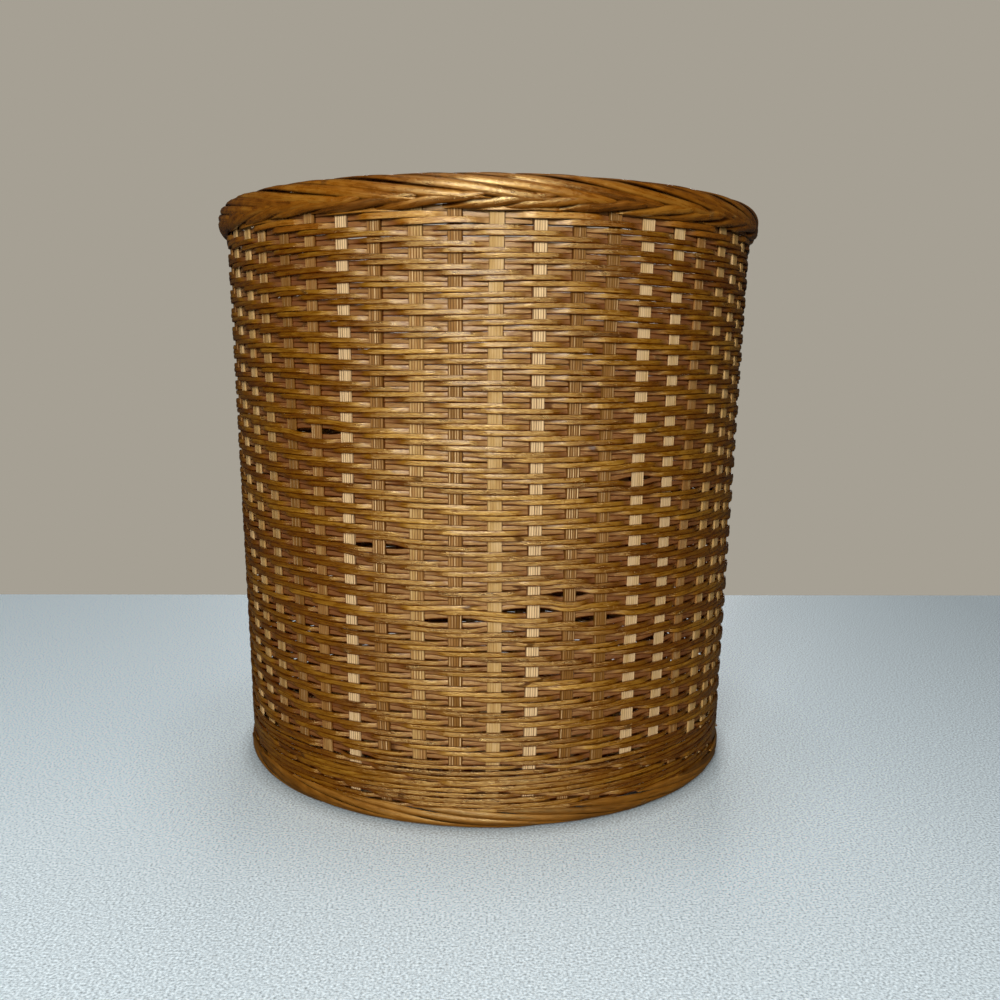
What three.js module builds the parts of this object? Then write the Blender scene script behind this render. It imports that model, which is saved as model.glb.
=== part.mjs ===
// Round rattan wastebasket: upright splints that cross under the base and rise as stakes,
// cane strands woven over two and under two between them, a bound rim and a foot border.
// Millimetres, +Z up. The origin is the centre of the circle that the foot stands on, and
// the front is towards -Y. Every angle is counted from the front towards +X.
import * as THREE from "three";

// Overall size
const HEIGHT = 274;
const STAKE_RADIUS_AT_FLOOR = 121.3; // middle of the stakes' thickness, carried down to the floor
const STAKE_RADIUS_AT_TOP = 129.8; // the same line carried up to the full height

// Splints: flat strips that are wall stakes at both ends and base spokes between
const SPLINT_GROUPS = 4;
const SPLINTS_PER_GROUP = 6;
const SPLINT_WIDTH = 5.2;
const SPLINT_THICKNESS = 1.0;
const BASE_LEVEL = 7; // middle of the spokes' thickness above the floor
const CORNER_RADIUS = 5; // bend from spoke to stake
const FAN_RADIUS = 47; // the spokes of a group run side by side inside this circle
const SPOKE_LEVEL_RADIUS = 61; // outside this circle every spoke lies at the base level
const STAKE_BURIED = 6; // length by which a stake stops short of the basket's top

// Cane strands, flat on the inner side and domed on the outer side
const CANE_THICKNESS = 0.9;
const CANE_END_WIDTH = 1.5; // width that a strand tapers to where it starts and ends
const CANE_END_THICKNESS = 0.4; // thickness towards which the tapered ends thin out
const ROW_GAP = 0.45; // between one row of a strand and the next
const FIT = 0.3; // clearance between pieces that touch
const EDGE_MARGIN = 0.4; // distance past a stake's edge where a strand starts to cross over

// Wall weave: over two stakes, under two
const WALL_ROW = 6.55;
const WALL_STRANDS = 6;
const TWILL = ["over", "over", "under", "under"];

// Upset: the tight band above the foot, over three stakes, under one
const UPSET_ROW = 8.2;
const UPSET_ROWS = 2;
const WALE = ["over", "over", "over", "under"];

// Base weave
const BASE_ROW = 15.4;
const BASE_WEAVE_START = 64;

// Foot border
const FOOT_HEEL_WIDTH = 9.5; // from the inner edge to the outermost face
const FOOT_SKIN = 1.7; // thickness over the wall stakes
const FOOT_FLAT = 6; // width that rests on the floor
const FOOT_BEVEL = 2.2;

// Rim: two hoops clamp the stake ends, and a slanting binding covers them
const RIM_WIDTH = 11;
const RIM_HEIGHT = 15.2;
const BINDING_THICKNESS = 1.6;
const BINDING_RELIEF = 0.5; // depth of the grooves between the binding's strips
const BINDING_FACETS = 16; // faces round the rim's section, two for each strip
const BINDING_SLANT = 2; // faces by which a strip winds round the section in one stake pitch
const CAVITY_FACETS = 6;
const RIM_SQUARENESS = 0.8; // 1 is an ellipse, less is squarer

// Plait under the rim, on the outside of the stakes
const PLAIT_HEIGHT = 4.2;
const PLAIT_WIDTH = 3.2;
const PLAIT_SIDES = 6;

// Values that follow from the sizes above
const FULL_TURN = 2 * Math.PI;
const SPLINT_COUNT = SPLINT_GROUPS * SPLINTS_PER_GROUP;
const STAKE_COUNT = 2 * SPLINT_COUNT + 1; // an odd stake makes the twill step by itself
const PITCH = FULL_TURN / STAKE_COUNT;
const FLARE = (STAKE_RADIUS_AT_TOP - STAKE_RADIUS_AT_FLOOR) / HEIGHT;
const LAYER = SPLINT_THICKNESS + FIT;
const HALF_THICKNESS = SPLINT_THICKNESS / 2;
const STAKE_TOP = HEIGHT - STAKE_BURIED;
const CORNER_TOP = BASE_LEVEL + CORNER_RADIUS;
const RIM_LEVEL = HEIGHT - RIM_HEIGHT / 2;
const RIM_BOTTOM = HEIGHT - RIM_HEIGHT;
const PLAIT_TOP = RIM_BOTTOM - FIT;
const PLAIT_BOTTOM = PLAIT_TOP - PLAIT_HEIGHT;
const UPSET_BOTTOM = CORNER_TOP + FIT;
const UPSET_TOP = UPSET_BOTTOM + UPSET_ROWS * UPSET_ROW;
const WALL_BOTTOM = UPSET_TOP + FIT;
const WALL_TOP = PLAIT_BOTTOM - FIT;

const stakeRadius = (z) => STAKE_RADIUS_AT_FLOOR + FLARE * z;
const RIM_RADIUS = stakeRadius(RIM_LEVEL);
const FOOT_RADIUS = stakeRadius(CORNER_TOP) + HALF_THICKNESS + FIT + FOOT_SKIN;
const FOOT_INNER_RADIUS = FOOT_RADIUS - FOOT_HEEL_WIDTH;
const BASE_WEAVE_END = FOOT_INNER_RADIUS - FIT;

// Finishes
const spokeFinish = new THREE.MeshStandardMaterial({ color: 0xc9a468, roughness: 0.62, metalness: 0 });
const caneFinish = new THREE.MeshStandardMaterial({ color: 0x9a6a2c, roughness: 0.38, metalness: 0 });
const rimFinish = new THREE.MeshStandardMaterial({ color: 0x8a5620, roughness: 0.34, metalness: 0 });
const hoopFinish = new THREE.MeshStandardMaterial({ color: 0xb08a50, roughness: 0.6, metalness: 0 });

const basket = new THREE.Group();

// Adds one sub-part to the basket under its own name.
function addPiece(name, geometry, finish) {
  geometry.computeVertexNormals();
  const piece = new THREE.Mesh(geometry, finish);
  piece.name = name;
  basket.add(piece);
}

// A point from its distance to the axis, its angle from the front, and its height.
function polar(radius, angle, z) {
  return new THREE.Vector3(radius * Math.sin(angle), -radius * Math.cos(angle), z);
}

// A geometry from points and from triangles that name three of them each.
function solidFrom(points, triangles) {
  const geometry = new THREE.BufferGeometry();
  geometry.setFromPoints(points);
  geometry.setIndex(triangles);
  return geometry;
}

// A solid lofted through convex sections with equal numbers of points, capped at both ends.
// Seen along the path, each section's points run clockwise.
function loft(sections) {
  const sides = sections[0].length;
  const triangles = [];
  for (let s = 0; s + 1 < sections.length; s++) {
    for (let k = 0; k < sides; k++) {
      const near = s * sides + k;
      const next = s * sides + ((k + 1) % sides);
      triangles.push(near, next, next + sides);
      triangles.push(near, next + sides, near + sides);
    }
  }
  const end = (sections.length - 1) * sides;
  for (let k = 1; k + 1 < sides; k++) {
    triangles.push(0, k + 1, k);
    triangles.push(end, end + k, end + k + 1);
  }
  return solidFrom(sections.flat(), triangles);
}

// Splints

// The bend from spoke to stake: an arc that touches the base level and the flared wall line.
// Direction is the arc's own angle, from straight down to square off the wall.
const CORNER_CENTRE_RADIUS =
  stakeRadius(CORNER_TOP) - CORNER_RADIUS * Math.sqrt(1 + FLARE * FLARE);
const CORNER_DIRECTIONS = [0, 0.5, 1].map((share) =>
  THREE.MathUtils.lerp(-Math.PI / 2, -Math.atan(FLARE), share),
);

function cornerPoint(distance, direction) {
  return new THREE.Vector2(
    CORNER_CENTRE_RADIUS + distance * Math.cos(direction),
    CORNER_TOP + distance * Math.sin(direction),
  );
}

// A splint's section: across the width and through the thickness at one place.
function splintSection(centre, across, outward) {
  const halfAcross = across.clone().multiplyScalar(SPLINT_WIDTH / 2);
  const halfOutward = outward.clone().multiplyScalar(HALF_THICKNESS);
  return [
    centre.clone().sub(halfAcross).add(halfOutward),
    centre.clone().sub(halfAcross).sub(halfOutward),
    centre.clone().add(halfAcross).sub(halfOutward),
    centre.clone().add(halfAcross).add(halfOutward),
  ];
}

// The sections of a stake from its end in the rim, down the wall and round to the spoke.
function stakeSections(angle) {
  const across = polar(1, angle + Math.PI / 2, 0);
  const wallDirection = CORNER_DIRECTIONS[2];
  const wallOutward = polar(Math.cos(wallDirection), angle, Math.sin(wallDirection));
  const sections = [splintSection(polar(stakeRadius(STAKE_TOP), angle, STAKE_TOP), across, wallOutward)];
  for (const direction of CORNER_DIRECTIONS.toReversed()) {
    const middle = cornerPoint(CORNER_RADIUS, direction);
    const outward = polar(Math.cos(direction), angle, Math.sin(direction));
    sections.push(splintSection(polar(middle.x, angle, middle.y), across, outward));
  }
  return sections;
}

const DOWN = new THREE.Vector3(0, 0, -1);

// The sections of a spoke from the base level to its group's layer at the fan circle, where
// the strip turns from its own radius to run beside the rest of its group.
function fanSections(angle, layer, chord) {
  const across = polar(1, angle + Math.PI / 2, 0);
  const inward = polar(-1, angle, 0);
  const mitre = inward.add(chord).normalize();
  const mitreAcross = new THREE.Vector3(mitre.y, -mitre.x, 0);
  mitreAcross.divideScalar(mitreAcross.dot(across));
  const level = BASE_LEVEL + layer * LAYER;
  return [
    splintSection(polar(SPOKE_LEVEL_RADIUS, angle, BASE_LEVEL), across, DOWN),
    splintSection(polar(FAN_RADIUS, angle, level), mitreAcross, DOWN),
  ];
}

// One splint: a stake, a spoke that crosses the base in its group's layer, and a stake.
function throughSplint(firstAngle, secondAngle, layer) {
  const chord = polar(1, secondAngle, 0).sub(polar(1, firstAngle, 0)).normalize();
  const firstHalf = [...stakeSections(firstAngle), ...fanSections(firstAngle, layer, chord)];
  const secondHalf = [
    ...stakeSections(secondAngle),
    ...fanSections(secondAngle, layer, chord.clone().negate()),
  ];
  // The second half is walked backwards, so its strip is seen from the other side.
  const turned = secondHalf.toReversed().map(([a, b, c, d]) => [d, c, b, a]);
  return loft([...firstHalf, ...turned]);
}

for (let group = 0; group < SPLINT_GROUPS; group++) {
  for (let j = 0; j < SPLINTS_PER_GROUP; j++) {
    const first = group * SPLINTS_PER_GROUP + j;
    const second = SPLINT_COUNT + (group + 1) * SPLINTS_PER_GROUP - 1 - j;
    const name = `splint_${String(first + 1).padStart(2, "0")}`;
    addPiece(name, throughSplint(first * PITCH, second * PITCH, group), spokeFinish);
  }
}

// The odd stake ends in the base weave, just outside the fan.
const oddAngle = (STAKE_COUNT - 1) * PITCH;
const oddEnd = splintSection(
  polar(BASE_WEAVE_START + CANE_END_WIDTH, oddAngle, BASE_LEVEL),
  polar(1, oddAngle + Math.PI / 2, 0),
  DOWN,
);
addPiece("odd_stake", loft([...stakeSections(oddAngle), oddEnd]), spokeFinish);

// Weaving

// The places where a strand bends, from one crossing number to another. Crossing k is stake
// k modulo the stake count. Each run of equal crossings has a bend before its first stake
// (past is -1), one beyond its last stake (past is 1), and one on every stake between.
function strandBends(from, to, pattern) {
  const side = (k) => pattern[((k % pattern.length) + pattern.length) % pattern.length];
  const bends = [];
  for (let k = from; k <= to; k++) {
    const starts = k === from || side(k - 1) !== side(k);
    const ends = k === to || side(k + 1) !== side(k);
    if (starts) {
      bends.push({ stake: k, past: -1, side: side(k) });
    }
    if (!starts && !ends) {
      bends.push({ stake: k, past: 0, side: side(k) });
    }
    if (ends) {
      bends.push({ stake: k, past: 1, side: side(k) });
    }
  }
  return bends;
}

// Where a row's two edges lie at a place along a strand, counted in turns. The strand climbs
// one row in a turn, and it is narrowed where it would pass the band's first or last line.
function rowEdges(turns, first, last, row) {
  const high = Math.min(first + row * turns - ROW_GAP, last);
  const low = Math.max(first + row * (turns - 1), first);
  const width = Math.max(high - low, CANE_END_WIDTH);
  return low === first ? [low, low + width] : [high - width, high];
}

// The domed thickness of the cane, less where the strand is narrowed.
function caneCrown(width, row) {
  const share = Math.min(1, width / (row - ROW_GAP));
  return THREE.MathUtils.lerp(CANE_END_THICKNESS, CANE_THICKNESS, share);
}

const BEND_DISTANCE = SPLINT_WIDTH / 2 + EDGE_MARGIN;

// A straight stretch over two stakes lies nearer the axis than its bends by this much at
// the worst stake edge, so that the bends stand out by as much.
const FLOAT_DROP =
  (SPLINT_WIDTH + EDGE_MARGIN) * Math.tan(PITCH / 2) +
  BEND_DISTANCE ** 2 / (2 * STAKE_RADIUS_AT_FLOOR);

// The two faces of the cane, measured outwards from the middle of the stakes.
function caneFaces(side, crown, drop) {
  const clear = HALF_THICKNESS + FIT;
  return side === "over"
    ? { flat: clear + drop, dome: clear + drop + crown }
    : { flat: -clear - crown, dome: -clear };
}

// A strand of the wall, from one crossing to another, in a band between two heights.
function wallStrand(from, to, pattern, bottom, top, row) {
  const sections = strandBends(from, to, pattern).map(({ stake, past, side }) => {
    const angle = stake * PITCH + (past * BEND_DISTANCE) / stakeRadius((bottom + top) / 2);
    const [low, high] = rowEdges(angle / FULL_TURN, bottom, top, row);
    const middle = (low + high) / 2;
    const { flat, dome } = caneFaces(side, caneCrown(high - low, row), FLOAT_DROP);
    return [
      polar(stakeRadius(low) + flat, angle, low),
      polar(stakeRadius(high) + flat, angle, high),
      polar(stakeRadius(middle) + dome, angle, middle),
    ];
  });
  return loft(sections);
}

// The wall's strands follow one another without a break in the pattern, and each one's ends
// lie behind a pair of stakes.
const wallTurns = (WALL_TOP - WALL_BOTTOM) / WALL_ROW + 1;
const wallRepeats = Math.floor((wallTurns * STAKE_COUNT) / TWILL.length);
for (let strand = 0; strand < WALL_STRANDS; strand++) {
  const firstRepeat = Math.round((strand * wallRepeats) / WALL_STRANDS);
  const lastRepeat = Math.round(((strand + 1) * wallRepeats) / WALL_STRANDS);
  const from = firstRepeat * TWILL.length - 1;
  const to = lastRepeat * TWILL.length - 2;
  const geometry = wallStrand(from, to, TWILL, WALL_BOTTOM, WALL_TOP, WALL_ROW);
  addPiece(`weaver_${strand + 1}`, geometry, caneFinish);
}

const upsetTurns = UPSET_ROWS + 1;
addPiece(
  "upset_weaver",
  wallStrand(0, Math.floor(upsetTurns * STAKE_COUNT), WALE, UPSET_BOTTOM, UPSET_TOP, UPSET_ROW),
  caneFinish,
);

// The base strand spirals outwards between the spokes, domed side down.
function baseStrand() {
  const turns = (BASE_WEAVE_END - BASE_WEAVE_START) / BASE_ROW + 1;
  const bends = strandBends(0, Math.floor(turns * STAKE_COUNT), TWILL);
  const sections = bends.map(({ stake, past, side }) => {
    const [inner] = rowEdges(stake / STAKE_COUNT, BASE_WEAVE_START, BASE_WEAVE_END, BASE_ROW);
    const angle = stake * PITCH + past * Math.asin(BEND_DISTANCE / inner);
    const [low, high] = rowEdges(angle / FULL_TURN, BASE_WEAVE_START, BASE_WEAVE_END, BASE_ROW);
    const { flat, dome } = caneFaces(side, caneCrown(high - low, BASE_ROW), 0);
    return [
      polar(low, angle, BASE_LEVEL - flat),
      polar(high, angle, BASE_LEVEL - flat),
      polar((low + high) / 2, angle, BASE_LEVEL - dome),
    ];
  });
  return loft(sections);
}
addPiece("base_weaver", baseStrand(), caneFinish);

// Rings

// A ring turned from a closed profile of radius and height. Its flat faces lie square to the
// stakes, and the middle of each face is at the profile's own radius.
function ring(profile) {
  const corners = profile.map((p) => new THREE.Vector2(p.x / Math.cos(PITCH / 2), p.y));
  const geometry = new THREE.LatheGeometry([...corners, corners[0]], STAKE_COUNT, PITCH / 2);
  return geometry.rotateX(Math.PI / 2);
}

// The foot border fills the outside of the bend and gives the flat rest.
function footProfile() {
  const hug = CORNER_DIRECTIONS.toReversed().map((direction) =>
    cornerPoint(CORNER_RADIUS + HALF_THICKNESS + FIT, direction),
  );
  const flatStart = FOOT_INNER_RADIUS + FOOT_BEVEL / 2;
  return [
    new THREE.Vector2(flatStart, 0),
    new THREE.Vector2(flatStart + FOOT_FLAT, 0),
    new THREE.Vector2(FOOT_RADIUS, FOOT_BEVEL),
    new THREE.Vector2(FOOT_RADIUS, CORNER_TOP - FOOT_BEVEL / 2),
    ...hug,
    new THREE.Vector2(FOOT_INNER_RADIUS, BASE_LEVEL - HALF_THICKNESS - FIT),
    new THREE.Vector2(FOOT_INNER_RADIUS, FOOT_BEVEL / 2),
  ];
}
addPiece("foot_border", ring(footProfile()), rimFinish);

// A point of the rim's rounded section, the given depth under its surface.
function rimPoint(direction, depth) {
  const rounded = (value) => Math.sign(value) * Math.abs(value) ** RIM_SQUARENESS;
  return new THREE.Vector2(
    RIM_RADIUS + (RIM_WIDTH / 2 - depth) * rounded(Math.cos(direction)),
    RIM_LEVEL + (RIM_HEIGHT / 2 - depth) * rounded(Math.sin(direction)),
  );
}

// Half of the slot that lets the stakes into the rim.
const SLOT = HALF_THICKNESS + FIT;

// Directions round the rim's section from the slot's outer lip, over the top, to its inner lip.
function rimDirections(facets) {
  const start = -Math.PI / 2;
  return Array.from({ length: facets + 1 }, (_, k) => start + (k / facets) * FULL_TURN);
}

// One arc of the rim's section, opened at the bottom by the slot.
function rimArc(facets, depthAt) {
  const arc = rimDirections(facets).map((direction, k) => rimPoint(direction, depthAt(k)));
  arc[0].x = RIM_RADIUS + SLOT;
  arc[facets].x = RIM_RADIUS - SLOT;
  return arc;
}

// Triangles between two rows of vertices. Vertex k of the first row meets vertex k + shift
// of the second, so that the ribs between them run aslant.
function stitch(first, second, shift, triangles) {
  const last = first.length - 1;
  for (let k = 0; k < shift; k++) {
    triangles.push(first[0], second[k + 1], second[k]);
  }
  for (let k = 0; k < last; k++) {
    const near = Math.min(k + shift, last);
    const far = Math.min(k + 1 + shift, last);
    triangles.push(first[k], first[k + 1], second[far]);
    if (near !== far) {
      triangles.push(first[k], second[far], second[near]);
    }
  }
}

// The binding: a C-shaped skin with slanting ribs, closed round the rim.
function bindingSolid() {
  const skin = rimArc(BINDING_FACETS, (k) => (k % 2 ? 0 : BINDING_RELIEF));
  const cavity = rimArc(CAVITY_FACETS, () => BINDING_THICKNESS + BINDING_RELIEF);
  const profile = [...skin, ...cavity.toReversed()];
  const points = [];
  const triangles = [];
  for (let s = 0; s < STAKE_COUNT; s++) {
    const angle = (s + 0.5) * PITCH;
    points.push(...profile.map((p) => polar(p.x / Math.cos(PITCH / 2), angle, p.y)));
  }
  const row = (s, from, to) =>
    Array.from({ length: to - from + 1 }, (_, k) => {
      const place = (from + k) % profile.length;
      return (s % STAKE_COUNT) * profile.length + place;
    });
  const skinEnd = skin.length - 1;
  for (let s = 0; s < STAKE_COUNT; s++) {
    stitch(row(s + 1, 0, skinEnd), row(s, 0, skinEnd), BINDING_SLANT, triangles);
    stitch(row(s + 1, skinEnd, profile.length), row(s, skinEnd, profile.length), 0, triangles);
  }
  return solidFrom(points, triangles);
}
addPiece("rim_binding", bindingSolid(), rimFinish);

// A hoop beside the stake ends: flat against them, rounded where the binding goes over it.
function hoopProfile(side) {
  const depth = BINDING_THICKNESS + BINDING_RELIEF + FIT;
  const round = rimDirections(CAVITY_FACETS)
    .slice(1, CAVITY_FACETS / 2)
    .map((direction) => rimPoint(direction, depth));
  const profile = [
    new THREE.Vector2(RIM_RADIUS + SLOT, round[0].y),
    ...round,
    new THREE.Vector2(RIM_RADIUS + SLOT, round.at(-1).y),
  ];
  if (side === "outer") {
    return profile;
  }
  return profile.map((p) => new THREE.Vector2(2 * RIM_RADIUS - p.x, p.y)).toReversed();
}
addPiece("rim_outer_hoop", ring(hoopProfile("outer")), hoopFinish);
addPiece("rim_inner_hoop", ring(hoopProfile("inner")), hoopFinish);

// The plait under the rim: a ring of slanting facets against the stakes.
function plaitSolid() {
  const centreLevel = (PLAIT_TOP + PLAIT_BOTTOM) / 2;
  const centreRadius = stakeRadius(centreLevel) + SLOT + PLAIT_WIDTH / 2;
  const points = [];
  const triangles = [];
  for (let s = 0; s < STAKE_COUNT; s++) {
    for (let k = 0; k < PLAIT_SIDES; k++) {
      const direction = (k / PLAIT_SIDES) * FULL_TURN;
      const radius = centreRadius + (PLAIT_WIDTH / 2) * Math.cos(direction);
      const level = centreLevel + (PLAIT_HEIGHT / 2) * Math.sin(direction);
      points.push(polar(radius / Math.cos(PITCH / 2), (s + 0.5) * PITCH, level));
    }
  }
  for (let s = 0; s < STAKE_COUNT; s++) {
    const ahead = ((s + 1) % STAKE_COUNT) * PLAIT_SIDES;
    for (let k = 0; k < PLAIT_SIDES; k++) {
      const near = s * PLAIT_SIDES + k;
      const next = s * PLAIT_SIDES + ((k + 1) % PLAIT_SIDES);
      const aheadNext = ahead + ((k + 1) % PLAIT_SIDES);
      const aheadAfter = ahead + ((k + 2) % PLAIT_SIDES);
      triangles.push(near, aheadAfter, next);
      triangles.push(near, aheadNext, aheadAfter);
    }
  }
  return solidFrom(points, triangles);
}
addPiece("rim_plait", plaitSolid(), rimFinish);

export default basket;
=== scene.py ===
"""The looks of the rattan wastebasket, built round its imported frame.

Every strip of the basket is one ribbon: a section carried along a path. The sizes in this file
are in millimetres, and a piece is turned into metres when its mesh is made. Angles are counted
from the front, which is towards -Y, towards +X. A crossing is a place along a strand counted
in stakes, so that a whole number is the middle of a stake.
"""

import logging
from dataclasses import dataclass, field
from enum import Enum

import bpy
import numpy as np
from mathutils import Matrix, Vector

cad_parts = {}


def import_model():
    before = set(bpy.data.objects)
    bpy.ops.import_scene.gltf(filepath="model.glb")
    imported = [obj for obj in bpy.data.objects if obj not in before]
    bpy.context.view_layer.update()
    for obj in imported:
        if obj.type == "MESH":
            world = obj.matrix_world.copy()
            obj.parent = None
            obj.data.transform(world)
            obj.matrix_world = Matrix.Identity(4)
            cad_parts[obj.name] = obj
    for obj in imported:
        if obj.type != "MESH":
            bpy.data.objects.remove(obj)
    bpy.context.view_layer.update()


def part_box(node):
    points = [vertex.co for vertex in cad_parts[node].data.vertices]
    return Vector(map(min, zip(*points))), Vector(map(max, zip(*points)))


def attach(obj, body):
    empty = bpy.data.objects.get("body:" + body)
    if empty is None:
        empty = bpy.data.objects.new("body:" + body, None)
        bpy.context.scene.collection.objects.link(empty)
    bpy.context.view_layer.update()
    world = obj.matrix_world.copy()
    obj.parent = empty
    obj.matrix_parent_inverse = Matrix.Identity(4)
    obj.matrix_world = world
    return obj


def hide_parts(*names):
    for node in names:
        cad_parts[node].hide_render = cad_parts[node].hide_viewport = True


Array = np.ndarray
Pair = tuple[float, float]
Triple = tuple[float, float, float]
Colour = Triple
Material = bpy.types.Material
Socket = bpy.types.NodeSocket
Outputs = bpy.types.bpy_prop_collection
Value = Socket | float | tuple

LOG = logging.getLogger("wastebasket")
MM = 0.001
TURN = 2 * np.pi
DOWN = np.array([0.0, 0.0, -1.0])
RIBBED_SHARE = 0.94  # of a stake's width, which its ribs take up


def srgb(red: int, green: int, blue: int) -> Colour:
    """Turn a screen colour into the linear light that a shader takes.

    Args:
        red: Red from 0 to 255.
        green: Green from 0 to 255.
        blue: Blue from 0 to 255.

    Returns:
        The three linear values from 0 to 1.
    """
    share = np.array([red, green, blue]) / 255
    linear = np.where(share <= 0.04045, share / 12.92, ((share + 0.055) / 1.055) ** 2.4)
    return tuple(float(value) for value in linear)


def polar(radius: Array, angle: Array, height: Array) -> Array:
    """Place points: radius times the sine of the angle to the right, times its cosine forwards."""
    radius, angle, height = np.broadcast_arrays(radius, angle, height)
    return np.stack([radius * np.sin(angle), -radius * np.cos(angle), height], axis=-1)


def unit(vectors: Array) -> Array:
    """Scale vectors to a length of one."""
    return vectors / np.linalg.norm(vectors, axis=-1, keepdims=True)


def ease(share: Array) -> Array:
    """Go from 0 to 1 with level ends, as 3 x squared minus 2 x cubed, held outside 0 to 1."""
    share = np.clip(share, 0, 1)
    return share * share * (3 - 2 * share)


def drift(rng: np.random.Generator, places: Array, spacing: float, size: float) -> Array:
    """Wander smoothly along a line.

    Random values at knots an even spacing apart are joined by eased steps.

    Args:
        rng: The seeded source of the values.
        places: Positions along the line.
        spacing: Distance between knots.
        size: The largest value.

    Returns:
        One value for each place.
    """
    steps = (places - places.min()) / spacing
    left = np.floor(steps).astype(int)
    knots = rng.uniform(-size, size, left.max() + 2)
    share = ease(steps - left)
    return knots[left] * (1 - share) + knots[left + 1] * share


def limited(values: Array, softness: float) -> Array:
    """Hold a wave near plus and minus one: x over the fourth root of x^4 plus softness^4."""
    return values / (values**4 + softness**4) ** 0.25


@dataclass
class Ribbons:
    """Strips of one kind, each a section carried along its path.

    At every station the section's first axis lies across the strip, square to the path and to
    the outward direction, and its second axis points outwards. Both are turned about the path
    by the tilt. Arrays have one row for each strip and one column for each station.
    """

    path: Array
    outward: Array
    section: Array
    width: Array
    thickness: Array
    tilt: Array | float = 0.0
    marks: dict[str, Array] = field(default_factory=dict)
    first_number: int = 0

    def points(self) -> Array:
        """Work out the surface.

        Returns:
            Points indexed by strip, station and place in the section.
        """
        along = unit(np.gradient(self.path, axis=1))
        across = unit(np.cross(self.outward, along))
        out = np.cross(along, across)
        shape = self.path.shape[:2]
        turn = np.broadcast_to(self.tilt, shape)[..., None]
        tilted = across * np.cos(turn) + out * np.sin(turn)
        raised = out * np.cos(turn) - across * np.sin(turn)
        wide = np.broadcast_to(self.width, shape)[..., None, None]
        thick = np.broadcast_to(self.thickness, shape)[..., None, None]
        first = self.section[:, 0, None] * wide * tilted[:, :, None]
        second = self.section[:, 1, None] * thick * raised[:, :, None]
        return self.path[:, :, None] + first + second

    def faces(self) -> Array:
        """Join neighbouring stations with quads and close both ends of every strip.

        An end is filled with quads between points at equal steps from the section's start and
        from its end.

        Returns:
            Four vertex numbers for each face.
        """
        strips, stations = self.path.shape[:2]
        sides = len(self.section)
        number = np.arange(strips * stations * sides).reshape(strips, stations, sides)
        after = np.roll(number, -1, axis=2)
        walls = [number[:, :-1], after[:, :-1], after[:, 1:], number[:, 1:]]
        walls = np.stack(walls, axis=-1).reshape(-1, 4)
        near = np.arange(sides // 2 - 1)
        far = sides - 1 - near
        first, last = number[:, 0], number[:, -1]
        start = [first[:, near], first[:, far], first[:, far - 1], first[:, near + 1]]
        end = [last[:, near], last[:, near + 1], last[:, far - 1], last[:, far]]
        caps = [np.stack(part, axis=-1).reshape(-1, 4) for part in (start, end)]
        return np.concatenate([walls, *caps])

    def places(self) -> Array:
        """Give each vertex its place on its strip, for the finish to follow.

        Returns:
            The length along the path, the place across the strip from -0.5 to 0.5, and the
            strip's own number, for each vertex.
        """
        steps = np.linalg.norm(np.diff(self.path, axis=1), axis=-1)
        length = np.concatenate([np.zeros((len(self.path), 1)), np.cumsum(steps, axis=1)], axis=1)
        shape = (*self.path.shape[:2], len(self.section))
        along = np.broadcast_to(length[..., None], shape)
        across = np.broadcast_to(self.section[:, 0], shape)
        number = self.first_number + np.arange(len(self.path))
        strip = np.broadcast_to(number[:, None, None], shape)
        return np.stack([along, across, strip], axis=-1)


def corners(*nodes: str) -> tuple[Array, Array]:
    """Give the lowest and the highest corner of the box round CAD nodes, in millimetres."""
    boxes = np.array([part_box(node) for node in nodes]) / MM
    return boxes[:, 0].min(axis=0), boxes[:, 1].max(axis=0)


def linked(name: str, data: bpy.types.ID) -> bpy.types.Object:
    """Make an object, linked to the scene.

    Args:
        name: Its name.
        data: Its mesh, lamp or camera.

    Returns:
        The object.
    """
    thing = bpy.data.objects.new(name, data)
    bpy.context.scene.collection.objects.link(thing)
    return thing


def make_piece(name: str, ribbons: list[Ribbons], crease: float = 60) -> bpy.types.Object:
    """Turn ribbons into one object in metres, with its place in its mesh.

    Args:
        name: The piece's name.
        ribbons: What the piece is made of.
        crease: Degrees between faces past which an edge is shaded sharp.

    Returns:
        The object, linked to the scene.
    """
    points, faces, places = [], [], []
    marks = {key: [] for key in ribbons[0].marks}
    count = 0
    for group in ribbons:
        surface = group.points()
        points.append(surface.reshape(-1, 3))
        faces.append(group.faces() + count)
        places.append(group.places().reshape(-1, 3))
        for key, values in group.marks.items():
            spread = np.broadcast_to(np.asarray(values, float)[..., None], surface.shape[:3])
            marks[key].append(spread.reshape(-1))
        count += len(points[-1])
    mesh = bpy.data.meshes.new(name)
    mesh.from_pydata(np.concatenate(points) * MM, [], np.concatenate(faces))
    place = mesh.attributes.new("place", "FLOAT_VECTOR", "POINT")
    place.data.foreach_set("vector", np.concatenate(places).astype(np.float32).ravel())
    for key, values in marks.items():
        mark = mesh.attributes.new(key, "FLOAT", "POINT")
        mark.data.foreach_set("value", np.concatenate(values).astype(np.float32))
    mesh.shade_smooth()
    mesh.set_sharp_from_angle(angle=np.radians(crease))
    mesh.validate()
    return linked(name, mesh)


def dress(piece: bpy.types.Object, finish: Material, slot: str, *nodes: str) -> None:
    """Give a piece its finish, and let it ride in place of the CAD nodes that it stands for.

    Args:
        piece: The piece.
        finish: Its material.
        slot: Not used; the material slot that the record gives those nodes.
        nodes: The CAD nodes.
    """
    piece.data.materials.append(finish)
    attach(piece, "root")
    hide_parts(*nodes)
    LOG.info("%s: %d faces, for %s", piece.name, len(piece.data.polygons), ", ".join(nodes))


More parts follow.
